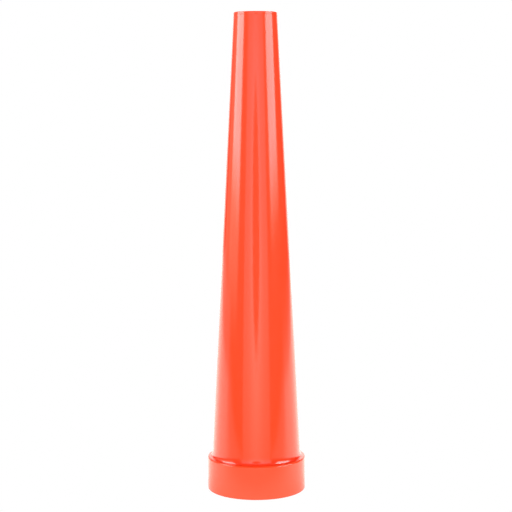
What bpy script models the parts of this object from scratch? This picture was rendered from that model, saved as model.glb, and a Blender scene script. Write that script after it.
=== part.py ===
"""Slip-on signal cone for the head of a hand-held light.

A tapered shell stands in a short collar. The shell's flared foot lies on the collar's top face, and
the spigot below it is a push fit in the collar's upper bore. The collar's lower bore is the socket
for the light's head, with a soft ring in a groove to grip it. A cap closes the shell's tip.

Units are metres, +Z is up, and the origin is the centre of the collar's bottom face.
"""

import math

import bmesh
import bpy

MM = 0.001
SEGMENTS = 64
SHARP_ANGLE = math.radians(30)
JOIN_GAP = 0.3 * MM  # between pieces that touch on the real object

# Driving dimensions
HEIGHT = 200.0 * MM
TIP_RADIUS = 9.05 * MM
FOOT_RADIUS = 18.66 * MM  # the shell's straight side, carried down to the collar's top face
COLLAR_HEIGHT = 14.05 * MM
COLLAR_RADIUS = 20.65 * MM

# Shell
SHELL_WALL = 1.5 * MM
FLARE_TOP_Z = 16.7 * MM  # where the straight side begins to flare into the foot
FLARE_RADIUS = 19.6 * MM
FLARE_EDGE = 0.1 * MM  # height of the foot's upright edge
SPIGOT_RADIUS = 18.3 * MM
SPIGOT_WALL = 1.0 * MM
SPIGOT_LENGTH = 3.5 * MM
SPIGOT_CHAMFER = 0.3 * MM

# Tip cap
CAP_RIM = 1.2 * MM
CAP_EDGE_ROUND = 0.5 * MM
CAP_THICKNESS = 1.5 * MM
CAP_SKIRT_LENGTH = 4.0 * MM
CAP_SKIRT_WALL = 1.2 * MM
CAP_SKIRT_CHAMFER = 0.3 * MM

# Collar
COLLAR_EDGE_ROUND = 0.5 * MM
COLLAR_FOOT_ROUND = 0.4 * MM
SOCKET_RADIUS = 17.9 * MM
SOCKET_MOUTH = 0.5 * MM  # lead-in chamfer at the bottom
SEAT_Z = 8.7 * MM  # the face that stops the light's bezel
SEAT_RADIUS = 17.0 * MM
SEAT_STEP = 0.5 * MM  # how far the seat stands down from the web
THROAT_RADIUS = 15.4 * MM
WEB_TOP_Z = COLLAR_HEIGHT - SPIGOT_LENGTH
GROOVE_BOTTOM_Z = 2.0 * MM
GROOVE_HEIGHT = 3.0 * MM
GROOVE_RADIUS = 19.2 * MM

# Grip ring
RING_INNER_RADIUS = 17.4 * MM
RING_EDGE_ROUND = 0.5 * MM

ARC_STEPS = 5

# Colour as linear RGB and alpha, roughness, metallic
SHELL_FINISH = ((0.95, 0.085, 0.028, 1.0), 0.12, 0.0)
COLLAR_FINISH = ((0.95, 0.085, 0.028, 1.0), 0.2, 0.0)
RUBBER_FINISH = ((0.03, 0.03, 0.032, 1.0), 0.75, 0.0)


def shell_radius(z):
    """Outer radius of the shell's straight side at height z."""
    share = (z - COLLAR_HEIGHT) / (HEIGHT - COLLAR_HEIGHT)
    return FOOT_RADIUS + (TIP_RADIUS - FOOT_RADIUS) * share


def arc(centre, radius, start, end, steps=ARC_STEPS):
    """Points of an arc in the (radius, height) plane, from angle start to angle end in degrees."""
    points = []
    for i in range(steps + 1):
        angle = math.radians(start + (end - start) * i / steps)
        points.append((centre[0] + radius * math.cos(angle), centre[1] + radius * math.sin(angle)))
    return points


def hollow_curve(start, corner, end, steps=ARC_STEPS):
    """Points after start, up to end, of the curve that leaves start and reaches end aimed at corner."""
    points = []
    for i in range(1, steps + 1):
        t = i / steps
        weights = ((1 - t) ** 2, 2 * t * (1 - t), t * t)
        points.append(
            tuple(sum(w * p[axis] for w, p in zip(weights, (start, corner, end))) for axis in (0, 1))
        )
    return points


def make_material(name, finish):
    colour, roughness, metallic = finish
    material = bpy.data.materials.new(name)
    material.use_nodes = True
    shader = material.node_tree.nodes["Principled BSDF"]
    shader.inputs["Base Color"].default_value = colour
    shader.inputs["Roughness"].default_value = roughness
    shader.inputs["Metallic"].default_value = metallic
    return material


def turned(name, profile, material, capped=False):
    """Turns a profile round Z. The profile runs down the outside, then up the inside.

    A capped profile starts and ends at the rims of two flat discs, instead of closing on itself.
    """
    bm = bmesh.new()
    rings = []
    for radius, z in profile:
        ring = []
        for i in range(SEGMENTS):
            angle = 2 * math.pi * i / SEGMENTS
            ring.append(bm.verts.new((radius * math.cos(angle), radius * math.sin(angle), z)))
        rings.append(ring)
    pairs = list(zip(rings, rings[1:]))
    if capped:
        bm.faces.new(rings[0])
        bm.faces.new(list(reversed(rings[-1])))
    else:
        pairs.append((rings[-1], rings[0]))
    for upper, lower in pairs:
        for i in range(SEGMENTS):
            j = (i + 1) % SEGMENTS
            bm.faces.new((upper[i], lower[i], lower[j], upper[j]))
    mesh = bpy.data.meshes.new(name)
    bm.to_mesh(mesh)
    bm.free()
    mesh.shade_smooth()
    mesh.set_sharp_from_angle(angle=SHARP_ANGLE)
    mesh.materials.append(material)
    obj = bpy.data.objects.new(name, mesh)
    bpy.context.scene.collection.objects.link(obj)
    return obj


def make_cone_shell(material):
    top_z = HEIGHT - CAP_RIM - JOIN_GAP / 2
    foot_z = COLLAR_HEIGHT + JOIN_GAP
    spigot_bottom = foot_z - SPIGOT_LENGTH
    flare_end_z = foot_z + FLARE_EDGE
    flare_start = (shell_radius(FLARE_TOP_Z), FLARE_TOP_Z)
    profile = [(shell_radius(top_z), top_z), flare_start]
    profile += hollow_curve(
        flare_start, (shell_radius(flare_end_z), flare_end_z), (FLARE_RADIUS, flare_end_z)
    )
    profile += [
        (FLARE_RADIUS, foot_z),
        (SPIGOT_RADIUS, foot_z),
        (SPIGOT_RADIUS, spigot_bottom + SPIGOT_CHAMFER),
        (SPIGOT_RADIUS - SPIGOT_CHAMFER, spigot_bottom),
        (SPIGOT_RADIUS - SPIGOT_WALL, spigot_bottom),
        (FOOT_RADIUS - SHELL_WALL, COLLAR_HEIGHT),
        (shell_radius(top_z) - SHELL_WALL, top_z),
    ]
    return turned("cone_shell", profile, material)


def make_tip_cap(material):
    rim_bottom = HEIGHT - CAP_RIM + JOIN_GAP / 2
    skirt_bottom = rim_bottom - CAP_SKIRT_LENGTH
    skirt_r = shell_radius(HEIGHT - CAP_RIM) - SHELL_WALL - JOIN_GAP
    inner_r = skirt_r - CAP_SKIRT_WALL
    edge_centre = (shell_radius(HEIGHT - CAP_EDGE_ROUND) - CAP_EDGE_ROUND, HEIGHT - CAP_EDGE_ROUND)
    profile = arc(edge_centre, CAP_EDGE_ROUND, 90, 0, 4)
    profile += [
        (shell_radius(rim_bottom), rim_bottom),
        (skirt_r, rim_bottom),
        (skirt_r, skirt_bottom + CAP_SKIRT_CHAMFER),
        (skirt_r - CAP_SKIRT_CHAMFER, skirt_bottom),
        (inner_r, skirt_bottom),
        (inner_r, HEIGHT - CAP_THICKNESS),
    ]
    return turned("tip_cap", profile, material, capped=True)


def make_collar(material):
    bore_r = SPIGOT_RADIUS + JOIN_GAP
    top_centre = (COLLAR_RADIUS - COLLAR_EDGE_ROUND, COLLAR_HEIGHT - COLLAR_EDGE_ROUND)
    foot_centre = (COLLAR_RADIUS - COLLAR_FOOT_ROUND, COLLAR_FOOT_ROUND)
    groove_top = GROOVE_BOTTOM_Z + GROOVE_HEIGHT
    profile = arc(top_centre, COLLAR_EDGE_ROUND, 90, 0, 4)
    profile += arc(foot_centre, COLLAR_FOOT_ROUND, 0, -90, 3)
    profile += [
        (SOCKET_RADIUS + SOCKET_MOUTH, 0),
        (SOCKET_RADIUS, SOCKET_MOUTH),
        (SOCKET_RADIUS, GROOVE_BOTTOM_Z),
        (GROOVE_RADIUS, GROOVE_BOTTOM_Z),
        (GROOVE_RADIUS, groove_top),
        (SOCKET_RADIUS, groove_top),
        (SOCKET_RADIUS, SEAT_Z + SEAT_STEP),
        (SEAT_RADIUS, SEAT_Z + SEAT_STEP),
        (SEAT_RADIUS, SEAT_Z),
        (THROAT_RADIUS, SEAT_Z),
        (THROAT_RADIUS, WEB_TOP_Z),
        (bore_r, WEB_TOP_Z),
        (bore_r, COLLAR_HEIGHT),
    ]
    return turned("collar", profile, material)


def make_grip_ring(material):
    outer_r = GROOVE_RADIUS - JOIN_GAP
    low_z = GROOVE_BOTTOM_Z + JOIN_GAP
    high_z = GROOVE_BOTTOM_Z + GROOVE_HEIGHT - JOIN_GAP
    lip_r = RING_INNER_RADIUS + RING_EDGE_ROUND
    profile = [(outer_r, high_z), (outer_r, low_z)]
    profile += arc((lip_r, low_z + RING_EDGE_ROUND), RING_EDGE_ROUND, 270, 180, 4)
    profile += arc((lip_r, high_z - RING_EDGE_ROUND), RING_EDGE_ROUND, 180, 90, 4)
    return turned("grip_ring", profile, material)


def main():
    for obj in list(bpy.data.objects):
        bpy.data.objects.remove(obj)
    shell_plastic = make_material("shell_plastic", SHELL_FINISH)
    cap_plastic = make_material("cap_plastic", SHELL_FINISH)
    collar_plastic = make_material("collar_plastic", COLLAR_FINISH)
    ring_rubber = make_material("ring_rubber", RUBBER_FINISH)
    make_cone_shell(shell_plastic)
    make_tip_cap(cap_plastic)
    make_collar(collar_plastic)
    make_grip_ring(ring_rubber)


main()
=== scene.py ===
import math

import bmesh
import bpy
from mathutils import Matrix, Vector


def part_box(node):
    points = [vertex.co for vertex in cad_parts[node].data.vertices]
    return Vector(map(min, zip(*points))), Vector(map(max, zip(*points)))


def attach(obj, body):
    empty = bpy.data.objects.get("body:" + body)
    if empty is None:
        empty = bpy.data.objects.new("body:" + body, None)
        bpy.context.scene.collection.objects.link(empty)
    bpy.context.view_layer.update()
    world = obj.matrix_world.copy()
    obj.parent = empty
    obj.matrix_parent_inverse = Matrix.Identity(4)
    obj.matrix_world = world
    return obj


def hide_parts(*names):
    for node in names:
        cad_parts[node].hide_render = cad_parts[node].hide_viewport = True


# A slip-on signal cone: glossy orange-red mouldings that stand in a soft white studio.
# Every piece is turned about Z. Lengths are metres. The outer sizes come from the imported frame's
# own boxes, and the inner ones follow the CAD's.

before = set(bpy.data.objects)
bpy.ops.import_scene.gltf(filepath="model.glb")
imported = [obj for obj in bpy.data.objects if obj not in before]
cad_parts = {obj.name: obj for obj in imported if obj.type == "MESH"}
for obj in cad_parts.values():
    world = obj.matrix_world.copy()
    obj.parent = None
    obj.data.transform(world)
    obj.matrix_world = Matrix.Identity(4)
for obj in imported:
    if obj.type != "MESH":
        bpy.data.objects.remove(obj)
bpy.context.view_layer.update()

# ---------------------------------------------------------------- sizes

MM = 0.001
SEGMENTS = 256  # facets round
SHARP_ANGLE = math.radians(38)  # a fold that is steeper than this stays crisp
SEAM = 0.01 * MM  # the hairline between two pieces that touch

collar_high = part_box("collar")[1]
shell_low, shell_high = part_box("cone_shell")
cap_low, cap_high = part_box("tip_cap")
ring_low, ring_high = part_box("grip_ring")

HEIGHT = cap_high.z
COLLAR_HEIGHT = collar_high.z
COLLAR_RADIUS = collar_high.x

# the shell, and the spigot under its flared foot
TIP_RADIUS = 9.05 * MM  # the straight side, carried up to the full height
FOOT_RADIUS = 18.66 * MM  # and down to the collar's top face
SHELL_WALL = 1.5 * MM
FLARE_TOP_Z = 17.1 * MM  # where the straight side begins to flare into the foot
FLARE_RADIUS = shell_high.x
SPIGOT_BOTTOM = shell_low.z
SPIGOT_RADIUS = 18.3 * MM
SPIGOT_BORE = 17.3 * MM  # its inner radius
SPIGOT_CHAMFER = 0.3 * MM

# the cap, whose skirt plugs into the shell
CAP_RIM = 1.05 * MM  # from the CAD's gap up to the flat top
CAP_SEAM_Z = (shell_high.z + HEIGHT - CAP_RIM) / 2
CAP_THICKNESS = 1.5 * MM
CAP_SKIRT_BOTTOM = cap_low.z
CAP_SKIRT_PLAY = 0.2 * MM  # between the skirt and the shell's inner wall
CAP_SKIRT_WALL = 1.2 * MM
CAP_SKIRT_CHAMFER = 0.3 * MM

# the collar: its ledge, the counterbore for the spigot, the web, the seat and the socket
LEDGE_RADIUS = 19.6 * MM
COUNTERBORE_RADIUS = 18.6 * MM
WEB_TOP_Z = 10.55 * MM
THROAT_RADIUS = 15.4 * MM
SEAT_Z = 8.7 * MM
SEAT_RADIUS = 17.0 * MM
SEAT_STEP = 0.5 * MM
SOCKET_RADIUS = 17.9 * MM
SOCKET_MOUTH = 0.5 * MM
GROOVE_BOTTOM_Z = 2.0 * MM
GROOVE_TOP_Z = 5.0 * MM
GROOVE_RADIUS = 19.2 * MM

# the ring in the groove
RING_INNER_RADIUS = 17.4 * MM
RING_EDGE_ROUND = 0.5 * MM


def new_object(name, data):
    """An object that is linked to the scene."""
    obj = bpy.data.objects.new(name, data)
    bpy.context.scene.collection.objects.link(obj)
    return obj


# ---------------------------------------------------------------- turned shapes


def shell_radius(z):
    """Outer radius of the shell's straight side at height z."""
    share = (z - COLLAR_HEIGHT) / (HEIGHT - COLLAR_HEIGHT)
    return FOOT_RADIUS + (TIP_RADIUS - FOOT_RADIUS) * share


def arc(centre, radius, start, end, steps=8):
    """Points of an arc in the (radius, height) plane, from angle start to angle end in degrees."""
    angles = [math.radians(start + (end - start) * i / steps) for i in range(steps + 1)]
    return [(centre[0] + radius * math.cos(a), centre[1] + radius * math.sin(a)) for a in angles]


def hollow_curve(start, corner, end, steps=16):
    """Points of the curve from start to end whose two ends both aim at corner, without start."""
    points = []
    for i in range(1, steps + 1):
        t = i / steps
        weights = ((1 - t) ** 2, 2 * t * (1 - t), t * t)
        points.append(
            tuple(sum(w * p[axis] for w, p in zip(weights, (start, corner, end))) for axis in (0, 1))
        )
    return points


def run(start, end, steps=24):
    """Points of a straight line from start to end, without end."""
    return [
        tuple(start[axis] + (end[axis] - start[axis]) * i / steps for axis in (0, 1))
        for i in range(steps)
    ]


def turned(name, profile, material, capped=False):
    """Turns a profile round Z. The profile runs down the outside, then up the inside.

    A capped profile starts and ends at the rims of two flat discs, instead of closing on itself.
    """
    bm = bmesh.new()
    rings = []
    for radius, z in profile:
        ring = []
        for i in range(SEGMENTS):
            angle = 2 * math.pi * i / SEGMENTS
            ring.append(bm.verts.new((radius * math.cos(angle), radius * math.sin(angle), z)))
        rings.append(ring)
    pairs = list(zip(rings, rings[1:]))
    if capped:
        bm.faces.new(rings[0])
        bm.faces.new(list(reversed(rings[-1])))
    else:
        pairs.append((rings[-1], rings[0]))
    for upper, lower in pairs:
        for i in range(SEGMENTS):
            j = (i + 1) % SEGMENTS
            bm.faces.new((upper[i], lower[i], lower[j], upper[j]))
    mesh = bpy.data.meshes.new(name)
    bm.to_mesh(mesh)
    bm.free()
    mesh.shade_smooth()
    mesh.set_sharp_from_angle(angle=SHARP_ANGLE)
    mesh.materials.append(material)
    obj = new_object(name, mesh)
    even = obj.modifiers.new("even_normals", "WEIGHTED_NORMAL")
    even.keep_sharp = True
    return obj


# ---------------------------------------------------------------- shader helpers


def new_material(name):
    """A material, with its node tree and its main shader."""
    material = bpy.data.materials.new(name)
    material.use_nodes = True
    return material, material.node_tree, material.node_tree.nodes["Principled BSDF"]


def mapped(tree, value, source, target):
    """The value, carried from the range source to the range target and held inside it."""
    change = tree.nodes.new("ShaderNodeMapRange")
    change.inputs["From Min"].default_value = source[0]
    change.inputs["From Max"].default_value = source[1]
    change.inputs["To Min"].default_value = target[0]
    change.inputs["To Max"].default_value = target[1]
    tree.links.new(value, change.inputs["Value"])
    return change.outputs["Result"]


def noise(tree, scale, detail, stretch=(1, 1, 1)):
    """A noise in the piece's own space; scale is in features per metre."""
    place = tree.nodes.new("ShaderNodeTexCoord")
    spread = tree.nodes.new("ShaderNodeMapping")
    spread.inputs["Scale"].default_value = stretch
    texture = tree.nodes.new("ShaderNodeTexNoise")
    texture.inputs["Scale"].default_value = scale
    texture.inputs["Detail"].default_value = detail
    tree.links.new(place.outputs["Object"], spread.inputs["Vector"])
    tree.links.new(spread.outputs["Vector"], texture.inputs["Vector"])
    return texture.outputs["Fac"]


def height_share(tree, start, end):
    """0 at the height start and 1 at the height end."""
    place = tree.nodes.new("ShaderNodeTexCoord")
    split = tree.nodes.new("ShaderNodeSeparateXYZ")
    tree.links.new(place.outputs["Object"], split.inputs[0])
    return mapped(tree, split.outputs["Z"], (start, end), (0, 1))


def between(tree, factor, first, second):
    """The colour that is first where the factor is 0 and second where it is 1."""
    mix = tree.nodes.new("ShaderNodeMix")
    mix.data_type = "RGBA"
    mix.inputs["A"].default_value = (*first, 1)
    mix.inputs["B"].default_value = (*second, 1)
    tree.links.new(factor, mix.inputs["Factor"])
    return mix.outputs["Result"]


def multiplied(tree, factor, colour, by):
    """The colour, multiplied by another one as far as the factor says."""
    product = tree.nodes.new("ShaderNodeMix")
    product.data_type = "RGBA"
    product.blend_type = "MULTIPLY"
    product.inputs["B"].default_value = (*by, 1)
    tree.links.new(factor, product.inputs["Factor"])
    tree.links.new(colour, product.inputs["A"])
    return product.outputs["Result"]


def add_bump(tree, shader, height, strength, distance):
    """Makes the surface rise and fall with the height, by no more than the distance."""
    bump = tree.nodes.new("ShaderNodeBump")
    bump.inputs["Strength"].default_value = strength
    bump.inputs["Distance"].default_value = distance
    tree.links.new(height, bump.inputs["Height"])
    tree.links.new(bump.outputs["Normal"], shader.inputs["Normal"])


# ---------------------------------------------------------------- materials

SHELL_ORANGE = (0.98, 0.0615, 0.0145)
COLLAR_ORANGE = (0.98, 0.068, 0.0165)
TINT_SPREAD = 0.03  # how far the streaks go to both sides of the plastic's colour
POLISH_SPREAD = 0.15  # the same for its roughness
NOISE_RANGE = (0.3, 0.7)  # where nearly all of a noise lies
TIP_TINT = (1, 1, 1.45)  # the colour at the tip, against that at the foot: bluer towards the tip
HOLLOW_PAINTED_SHADE = (1, 0.58, 0.5)  # painted shade: how much darker the colour is made down in the hollow of the flare
HOLLOW_PAINTED_GLOSS = 0.72  # painted highlight: the strength of the gloss there, raised to brighten the hollow's reflections
PLAIN_LUSTRE = 0.5  # and elsewhere
RUBBER_BLACK = (0.022, 0.022, 0.024)
RUBBER_BLOOM = (0.045, 0.045, 0.047)


def gloss_plastic(name, colour, roughness, hollow=False):
    """Moulded plastic: faint colour streaks, uneven polish and a skin that ripples a little; with
    hollow, also painted shade and a painted stronger gloss down in the flare.
    """
    material, tree, shader = new_material(name)
    streaks = noise(tree, scale=60, detail=3, stretch=(1, 1, 0.12))
    darker = [c * (1 - TINT_SPREAD) for c in colour]
    lighter = [min(1, c * (1 + TINT_SPREAD)) for c in colour]
    tint = between(tree, streaks, darker, lighter)
    tint = multiplied(tree, height_share(tree, 0, HEIGHT), tint, TIP_TINT)
    if hollow:
        # painted shade and painted highlight: darker colour and stronger gloss, growing down into
        # the flare's hollow
        into_hollow = height_share(tree, FLARE_TOP_Z, COLLAR_HEIGHT)
        tint = multiplied(tree, into_hollow, tint, HOLLOW_PAINTED_SHADE)
        lustre = mapped(tree, into_hollow, (0, 1), (PLAIN_LUSTRE, HOLLOW_PAINTED_GLOSS))
        tree.links.new(lustre, shader.inputs["Specular IOR Level"])
    tree.links.new(tint, shader.inputs["Base Color"])
    rough_range = (roughness * (1 - POLISH_SPREAD), roughness * (1 + POLISH_SPREAD))
    polish = mapped(tree, noise(tree, scale=350, detail=4), NOISE_RANGE, rough_range)
    tree.links.new(polish, shader.inputs["Roughness"])
    add_bump(tree, shader, noise(tree, scale=900, detail=2), strength=0.02, distance=0.02 * MM)
    shader.inputs["IOR"].default_value = 1.5
    return material


def dull_rubber(name):
    """Soft black rubber with a fine grain and a paler bloom."""
    material, tree, shader = new_material(name)
    bloom = between(tree, noise(tree, scale=200, detail=4), RUBBER_BLACK, RUBBER_BLOOM)
    tree.links.new(bloom, shader.inputs["Base Color"])
    shader.inputs["Roughness"].default_value = 0.7
    add_bump(tree, shader, noise(tree, scale=6000, detail=2), strength=0.3, distance=0.03 * MM)
    return material


# ---------------------------------------------------------------- pieces


def make_shell(material):
    """The long tapered shell: its side, its flared foot and the spigot, open at both ends."""
    top_round = 0.03 * MM
    lip_height, lip_taper = 0.05 * MM, 0.04 * MM  # the foot's upright outer edge
    top_z = CAP_SEAM_Z - SEAM / 2
    side_top_z = top_z - 2 * top_round
    foot_z = COLLAR_HEIGHT + SEAM
    lip_z = foot_z + lip_height
    flare_start = (shell_radius(FLARE_TOP_Z), FLARE_TOP_Z)
    flare_corner = (shell_radius(lip_z), lip_z)
    flare_end = (FLARE_RADIUS - lip_taper, lip_z)
    inner_top = (shell_radius(top_z) - SHELL_WALL, top_z)
    inner_foot = (FOOT_RADIUS - SHELL_WALL, COLLAR_HEIGHT)
    profile = arc((shell_radius(top_z) - top_round, top_z - top_round), top_round, 90, 0, steps=4)
    profile += run((shell_radius(side_top_z), side_top_z), flare_start)
    profile.append(flare_start)
    profile += hollow_curve(flare_start, flare_corner, flare_end)
    profile += [
        (FLARE_RADIUS, foot_z),
        (SPIGOT_RADIUS, foot_z),
        (SPIGOT_RADIUS, SPIGOT_BOTTOM + SPIGOT_CHAMFER),
        (SPIGOT_RADIUS - SPIGOT_CHAMFER, SPIGOT_BOTTOM),
        (SPIGOT_BORE, SPIGOT_BOTTOM),
    ]
    profile += run(inner_foot, inner_top)
    profile.append(inner_top)
    return turned("shell_skin", profile, material)


def make_cap(material):
    """The plug-in cap: a flat top with a sprue mark, a rounded rim, and a skirt."""
    top_round = 0.35 * MM
    rim_round = 0.03 * MM
    sprue = ((0.63, 0.12), (0.9, 0.096), (1.035, 0))  # radius and depth of its floor, side and rim
    rim_bottom = CAP_SEAM_Z + SEAM / 2
    top_centre = (shell_radius(HEIGHT - top_round) - top_round, HEIGHT - top_round)
    rim_centre = (shell_radius(rim_bottom) - rim_round, rim_bottom + rim_round)
    skirt_radius = shell_radius(CAP_SEAM_Z) - SHELL_WALL - CAP_SKIRT_PLAY
    bore_radius = skirt_radius - CAP_SKIRT_WALL
    profile = [(radius * MM, HEIGHT - depth * MM) for radius, depth in sprue]
    profile += arc(top_centre, top_round, 90, 0, steps=10)
    profile += arc(rim_centre, rim_round, 0, -90, steps=4)
    profile += [
        (skirt_radius, rim_bottom),
        (skirt_radius, CAP_SKIRT_BOTTOM + CAP_SKIRT_CHAMFER),
        (skirt_radius - CAP_SKIRT_CHAMFER, CAP_SKIRT_BOTTOM),
        (bore_radius, CAP_SKIRT_BOTTOM),
        (bore_radius, HEIGHT - CAP_THICKNESS),
    ]
    return turned("cap_skin", profile, material, capped=True)


def make_collar(material):
    """The sleeve: ledge and rounded edge, outer wall, then the socket, groove, seat and web."""
    edge_round = 0.7 * MM
    foot_round = 0.4 * MM
    ledge_drop = 0.03 * MM  # the ledge falls by this towards its edge
    edge_start = 87  # degrees, where the round edge is nearly in line with the falling ledge
    edge_centre = (COLLAR_RADIUS - edge_round, COLLAR_HEIGHT - edge_round - ledge_drop)
    profile = [(LEDGE_RADIUS, COLLAR_HEIGHT)]
    profile += arc(edge_centre, edge_round, edge_start, 0, steps=12)
    profile += arc((COLLAR_RADIUS - foot_round, foot_round), foot_round, 0, -90)
    profile += [
        (SOCKET_RADIUS + SOCKET_MOUTH, 0),
        (SOCKET_RADIUS, SOCKET_MOUTH),
        (SOCKET_RADIUS, GROOVE_BOTTOM_Z),
        (GROOVE_RADIUS, GROOVE_BOTTOM_Z),
        (GROOVE_RADIUS, GROOVE_TOP_Z),
        (SOCKET_RADIUS, GROOVE_TOP_Z),
        (SOCKET_RADIUS, SEAT_Z + SEAT_STEP),
        (SEAT_RADIUS, SEAT_Z + SEAT_STEP),
        (SEAT_RADIUS, SEAT_Z),
        (THROAT_RADIUS, SEAT_Z),
        (THROAT_RADIUS, WEB_TOP_Z),
        (COUNTERBORE_RADIUS, WEB_TOP_Z),
        (COUNTERBORE_RADIUS, COLLAR_HEIGHT),
    ]
    return turned("collar_skin", profile, material)


def make_ring(material):
    """The soft ring that sits in the collar's groove, with two rounded inner edges."""
    lip_radius = RING_INNER_RADIUS + RING_EDGE_ROUND
    profile = [(ring_high.x, ring_high.z), (ring_high.x, ring_low.z)]
    profile += arc((lip_radius, ring_low.z + RING_EDGE_ROUND), RING_EDGE_ROUND, 270, 180)
    profile += arc((lip_radius, ring_high.z - RING_EDGE_ROUND), RING_EDGE_ROUND, 180, 90)
    return turned("ring_skin", profile, material)


shell_plastic = gloss_plastic("shell_gloss", SHELL_ORANGE, roughness=0.12, hollow=True)
collar_plastic = gloss_plastic("collar_gloss", COLLAR_ORANGE, roughness=0.16)
ring_rubber = dull_rubber("ring_rubber_soft")

for piece, node, body, slot in (
    (make_shell(shell_plastic), "cone_shell", "cone", "shell_plastic"),
    (make_cap(shell_plastic), "tip_cap", "tip", "shell_plastic"),
    (make_collar(collar_plastic), "collar", "collar", "collar_plastic"),
    (make_ring(ring_rubber), "grip_ring", "collar", "ring_rubber"),
):
    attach(piece, body)
    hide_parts(node)


# ---------------------------------------------------------------- glowing cards

FULL_GLOW = 5.0  # the glow from which a lamp has the colour of its full strength


def glow_material(name, blues, over=(0, FULL_GLOW), attribute="glow", see_through=False):
    """A surface that gives off light, as strong as the mesh's own glow attribute says.

    Its blue share goes from the first of blues to the second as the attribute runs through over.
    """
    material, tree, shader = new_material(name)
    tree.nodes.remove(shader)
    light = tree.nodes.new("ShaderNodeEmission")
    glow = tree.nodes.new("ShaderNodeAttribute")
    glow.attribute_name = "glow"
    along = tree.nodes.new("ShaderNodeAttribute")
    along.attribute_name = attribute
    colour = tree.nodes.new("ShaderNodeCombineColor")
    colour.inputs["Red"].default_value = 1
    colour.inputs["Green"].default_value = 1
    tree.links.new(mapped(tree, along.outputs["Fac"], over, blues), colour.inputs["Blue"])
    tree.links.new(colour.outputs["Color"], light.inputs["Color"])
    tree.links.new(glow.outputs["Fac"], light.inputs["Strength"])
    surface = light
    if see_through:
        clear = tree.nodes.new("ShaderNodeBsdfTransparent")
        surface = tree.nodes.new("ShaderNodeAddShader")
        tree.links.new(light.outputs[0], surface.inputs[0])
        tree.links.new(clear.outputs[0], surface.inputs[1])
    tree.links.new(surface.outputs[0], tree.nodes["Material Output"].inputs["Surface"])
    return material


def smooth(value, low, high):
    """0 below low, 1 above high, and an even S between."""
    t = min(1, max(0, (value - low) / (high - low)))
    return t * t * (3 - 2 * t)


def glowing_mesh(name, points, faces, glow, material):
    """A mesh whose glow at each point is glow(x, y) of that point's first two coordinates."""
    mesh = bpy.data.meshes.new(name)
    mesh.from_pydata(points, [], faces)
    strength = mesh.attributes.new("glow", "FLOAT", "POINT")
    strength.data.foreach_set("value", [glow(p[0], p[1]) for p in points])
    height = mesh.attributes.new("up", "FLOAT", "POINT")
    height.data.foreach_set("value", [p[1] for p in points])
    mesh.materials.append(material)
    return new_object(name, mesh)


def sheet_of(left, right, bottom, top, steps=48):
    """Points and faces of a flat grid; left and right are functions of the height on it."""
    points = []
    for j in range(steps + 1):
        y = bottom + (top - bottom) * j / steps
        for i in range(steps + 1):
            x = left(y) + (right(y) - left(y)) * i / steps
            points.append((x, y, 0))
    across = steps + 1
    faces = [
        (j * across + i, j * across + i + 1, (j + 1) * across + i + 1, (j + 1) * across + i)
        for j in range(steps)
        for i in range(steps)
    ]
    return points, faces


def rectangle(width, height):
    """Points and faces of a flat rectangular grid round its own middle."""
    return sheet_of(lambda y: -width / 2, lambda y: width / 2, -height / 2, height / 2)


def disc(radius, rings=98, steps=96):
    """Points and faces of a flat round grid."""
    points = [(0, 0, 0)]
    for j in range(1, rings + 1):
        for i in range(steps):
            a = 2 * math.pi * i / steps
            points.append((radius * j / rings * math.cos(a), radius * j / rings * math.sin(a), 0))
    faces = [(0, 1 + i, 1 + (i + 1) % steps) for i in range(steps)]
    for j in range(rings - 1):
        inner, outer = 1 + j * steps, 1 + (j + 1) * steps
        for i in range(steps):
            k = (i + 1) % steps
            faces.append((inner + i, outer + i, outer + k, inner + k))
    return points, faces


def reflector(name, shape, glow, material, centre, facing):
    """A card that shows in gloss only: not to the camera, and not as a light on matt surfaces.

    shape is the card's points and faces.
    """
    obj = glowing_mesh(name, *shape, glow, material)
    obj.location = centre
    obj.rotation_euler = (Vector(facing) - Vector(centre)).to_track_quat("Z", "Y").to_euler()
    obj.visible_camera = False
    obj.visible_diffuse = False
    obj.visible_shadow = False
    obj.visible_transmission = False


def around(azimuth, distance, height):
    """A place seen from the axis at an azimuth from the front, positive to the right."""
    a = math.radians(azimuth)
    return (distance * math.sin(a), -distance * math.cos(a), height)


# ---------------------------------------------------------------- studio

LAMP_SLANT = 0.032  # how much higher a lamp's light begins, for each radian away from the camera
LAMP_LEAN = 0.3  # how far a lamp leans away from the camera, for each metre up
LEAN_FROM = 0.3  # the height where it begins to
SHARPER_FROM, SHARPER_TO = 0.17, 0.28  # the heights between which a lamp's soft edges get sharper
SHARPER_BY = 0.6  # the share of the softness that goes


def make_softbox(name, material, azimuth, distance, width, top, blur, glow):
    """A tall lamp to one side, with soft edges. glow says how bright it is at a height."""
    away = -1 if azimuth > 0 else 1  # which way along the card is away from the camera

    def spread(x, y):
        height = y + top / 2
        across = x - away * LAMP_LEAN * max(0, height - LEAN_FROM)
        edge = blur * (1 - SHARPER_BY * smooth(height, SHARPER_FROM, SHARPER_TO))
        turn = away * across / distance
        return smooth(width / 2 - abs(across), 0, edge) * glow(height - LAMP_SLANT * turn)

    centre = around(azimuth, distance, top / 2)
    reach = width + 2 * LAMP_LEAN * (top - LEAN_FROM)
    reflector(name, rectangle(reach, top), spread, material, centre, (0, 0, top / 2))


def rising_glow(height, strength, climb, boost, boost_from):
    """Dark below the climb, at its strength above it, and brighter still past boost_from."""
    return strength * smooth(height, *climb) + boost * max(0, height - boost_from)


def left_glow(height):
    """The left lamp ends low down in a long, faint tail."""
    tail = smooth(height, 0.03, 0.11)
    return tail + rising_glow(
        height, strength=5.2, climb=(0.104, 0.176), boost=14, boost_from=0.19
    )


def right_glow(height):
    """The right lamp has no tail."""
    return rising_glow(height, strength=6.0, climb=(0.09, 0.20), boost=20, boost_from=0.27)


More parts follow.
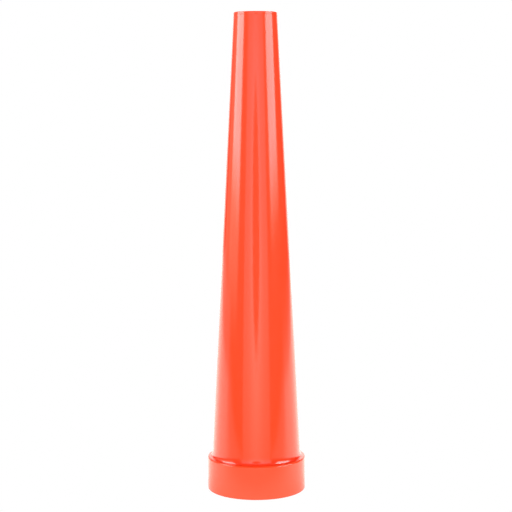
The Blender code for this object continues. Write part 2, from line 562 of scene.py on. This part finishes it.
def make_wall(material):
    """A dim wall behind the left lamp, with soft sides and a soft lower end."""
    azimuth, distance, middle = -95, 0.5, 0.2
    width, height = 0.76, 0.5
    strength, soft_side = 0.6, 0.08
    dark_below, full_above = -0.18, -0.12  # from its middle

    def glow(x, y):
        sides = smooth(width / 2 - abs(x), 0, soft_side)
        return strength * sides * smooth(y, dark_below, full_above)

    centre = around(azimuth, distance, middle)
    reflector("wall_left", rectangle(width, height), glow, material, centre, (0, 0, middle))


def make_backdrop(material):
    """The white backdrop. It is brightest straight behind the cone and fades to both sides."""
    x_middle, distance, z_middle = 0.02, 1.05, 0.26
    width, height = 1.6, 0.72
    strength, fall_right, fall_left = 2.05, 0.35, 0.75
    fall_reach = 0.5

    def glow(x, y):
        fall = fall_right if x > 0 else fall_left
        return strength - fall * smooth(abs(x), 0, fall_reach)

    centre = (x_middle, distance, z_middle)
    facing = (x_middle, 0, z_middle)
    reflector("backdrop", rectangle(width, height), glow, material, centre, facing)


def make_front(material):
    """The big round reflector behind the camera. The camera looks through the dark hole in it,
    and it is brightest round the hole, the more so lower down."""
    distance, height = 0.60, 0.128
    radius = 0.49
    dark_above = 0.19  # from its middle
    hole_radius, hole_squeeze = 0.11, 0.88  # the hole is a little wider than it is high
    rim_strength, rim_slope, rim_reach = 1.55, 4, 0.08
    strength, droop = 1.08, 8  # away from the rim: at middle height, and its fall up and down

    def glow(x, y):
        out = math.hypot(hole_squeeze * x, y) - hole_radius
        if out < 0 or y >= dark_above:
            return 0.0
        rim = (rim_strength - rim_slope * y) * math.exp(-out / rim_reach)
        return strength - droop * y * y + rim

    centre = (0, -distance, height)
    reflector("front_reflector", disc(radius), glow, material, centre, (0, 0, height))


def table_sides(x, y):
    """1 as far as an edge on each side, which spreads towards the back, and dimmer past it."""
    if x > 0:
        past_edge = x - 0.34 - 0.15 * max(0, y)
        return 1 - 0.6 * smooth(past_edge, 0, 0.1) - 0.28 * smooth(past_edge, 0.1, 0.4)
    past_edge = -x - 0.40 - 0.3 * max(0, y)
    return 1 - 0.6 * smooth(past_edge, 0, 0.08)


def foot_shade(x, y):
    """The share of light that is missing round the cone's foot, more behind it than in front."""
    front_share, more_behind, reach = 0.22, 0.23, 0.018
    from_collar = max(0, math.hypot(x, y) - COLLAR_RADIUS)
    return (front_share + more_behind * smooth(y, -0.02, 0)) * math.exp(-from_collar / reach)


def wedge_shade(x, y):
    """The share that is missing in a wedge straight behind the cone, which fades out far back."""
    share, inner_slope, outer_slope = 0.22, 0.3, 0.9
    depth = max(y, 0.001)
    in_wedge = 1 - smooth(abs(x), inner_slope * depth, outer_slope * depth)
    return share * in_wedge * (1 - smooth(y, 0.3, 0.8))


def table_glow(x, y):
    """How the white table glows: it fades to its front edge and its sides, and near the cone."""
    front_part = 0.85 * smooth(y, -0.14, -0.08)
    back_part = 1.2 * smooth(y, -0.062, -0.005)
    unshaded = (1 - foot_shade(x, y)) * (1 - wedge_shade(x, y))
    return (front_part + back_part) * table_sides(x, y) * unshaded


def make_table(material):
    """The table, a hair under the cone. Its front edge comes nearer the camera at both sides."""
    left, right, back = -1.2, 1.0, 1.0
    edge_middle, edge_step = -0.078, 0.062
    below = 0.0001

    def front(x):
        return edge_middle - edge_step * smooth(abs(x), 0.04, 0.12)

    # the grid is made lying on its side, so that its front edge can follow front(x)
    points, faces = sheet_of(front, lambda x: back, left, right, steps=240)
    points = [(x, y, 0) for y, x, z in points]
    table = glowing_mesh("table", points, faces, table_glow, material)
    table.location.z = -below
    table.visible_camera = False


def make_top_card(material):
    """A card above the cap. It lights the cap's flat top and shows in no reflection."""
    radius, above, strength = 0.04, 0.12, 8.0
    card = glowing_mesh("top_card", *disc(radius), lambda x, y: strength, material)
    card.location.z = HEIGHT + above
    card.visible_camera = False
    card.visible_glossy = False
    card.visible_shadow = False


def by_ray(tree, ray):
    """A mix that gives its B to one kind of ray and its A to all the others."""
    path = tree.nodes.new("ShaderNodeLightPath")
    choice = tree.nodes.new("ShaderNodeMix")
    tree.links.new(path.outputs[ray], choice.inputs["Factor"])
    return choice


def make_surroundings():
    """White to the camera, a soft light on matt surfaces that is stronger from the front,
    and nearly dark in reflections."""
    back_light, front_light = 1.24, 1.58
    level_share, top_share = 1.15, 0.5
    in_reflections, to_camera = 0.03, 1.0
    world = bpy.data.worlds.new("studio")
    world.use_nodes = True
    tree = world.node_tree
    background = tree.nodes["Background"]
    direction = tree.nodes.new("ShaderNodeTexCoord")
    split = tree.nodes.new("ShaderNodeSeparateXYZ")
    tree.links.new(direction.outputs["Generated"], split.inputs[0])
    soft = tree.nodes.new("ShaderNodeMath")
    soft.operation = "MULTIPLY"
    front = mapped(tree, split.outputs["Y"], (0, -1), (back_light, front_light))
    above = mapped(tree, split.outputs["Z"], (0, 1), (level_share, top_share))
    tree.links.new(front, soft.inputs[0])
    tree.links.new(above, soft.inputs[1])
    lighting = by_ray(tree, "Is Diffuse Ray")
    lighting.inputs["A"].default_value = in_reflections
    tree.links.new(soft.outputs[0], lighting.inputs["B"])
    seen = by_ray(tree, "Is Camera Ray")
    tree.links.new(lighting.outputs["Result"], seen.inputs["A"])
    seen.inputs["B"].default_value = to_camera
    tree.links.new(seen.outputs["Result"], background.inputs["Strength"])
    background.inputs["Color"].default_value = (1, 1, 1, 1)
    bpy.context.scene.world = world


def make_studio():
    warm = glow_material("warm_glow", blues=(0.93, 0.93))
    cooler_up = glow_material("front_glow", (0.85, 1.15), over=(-0.15, 0.15), attribute="up")
    lamp = glow_material("lamp_glow", blues=(0.72, 1.03), see_through=True)
    make_surroundings()
    make_table(warm)
    make_top_card(warm)
    make_front(cooler_up)
    make_softbox(
        "softbox_left", lamp, azimuth=-82.9, distance=0.32, width=0.282, top=0.38, blur=0.047,
        glow=left_glow,
    )
    make_softbox(
        "softbox_right", lamp, azimuth=73, distance=0.70, width=0.60, top=0.62, blur=0.12,
        glow=right_glow,
    )
    make_wall(lamp)
    make_backdrop(warm)


def make_camera():
    """At the reference view: a little above mid-height, looking slightly down."""
    distance, height = 0.5846, 0.1648
    look_down, roll = 6.41, -0.13  # degrees
    camera = bpy.data.cameras.new("camera")
    camera.sensor_width = 36
    camera.lens = 98.67
    obj = new_object("camera", camera)
    obj.location = (0, -distance, height)
    obj.rotation_euler = (math.radians(90 - look_down), 0, 0)
    obj.rotation_euler.rotate_axis("Z", math.radians(roll))
    bpy.context.scene.camera = obj


make_studio()
make_camera()
bpy.context.scene.view_settings.view_transform = "Standard"
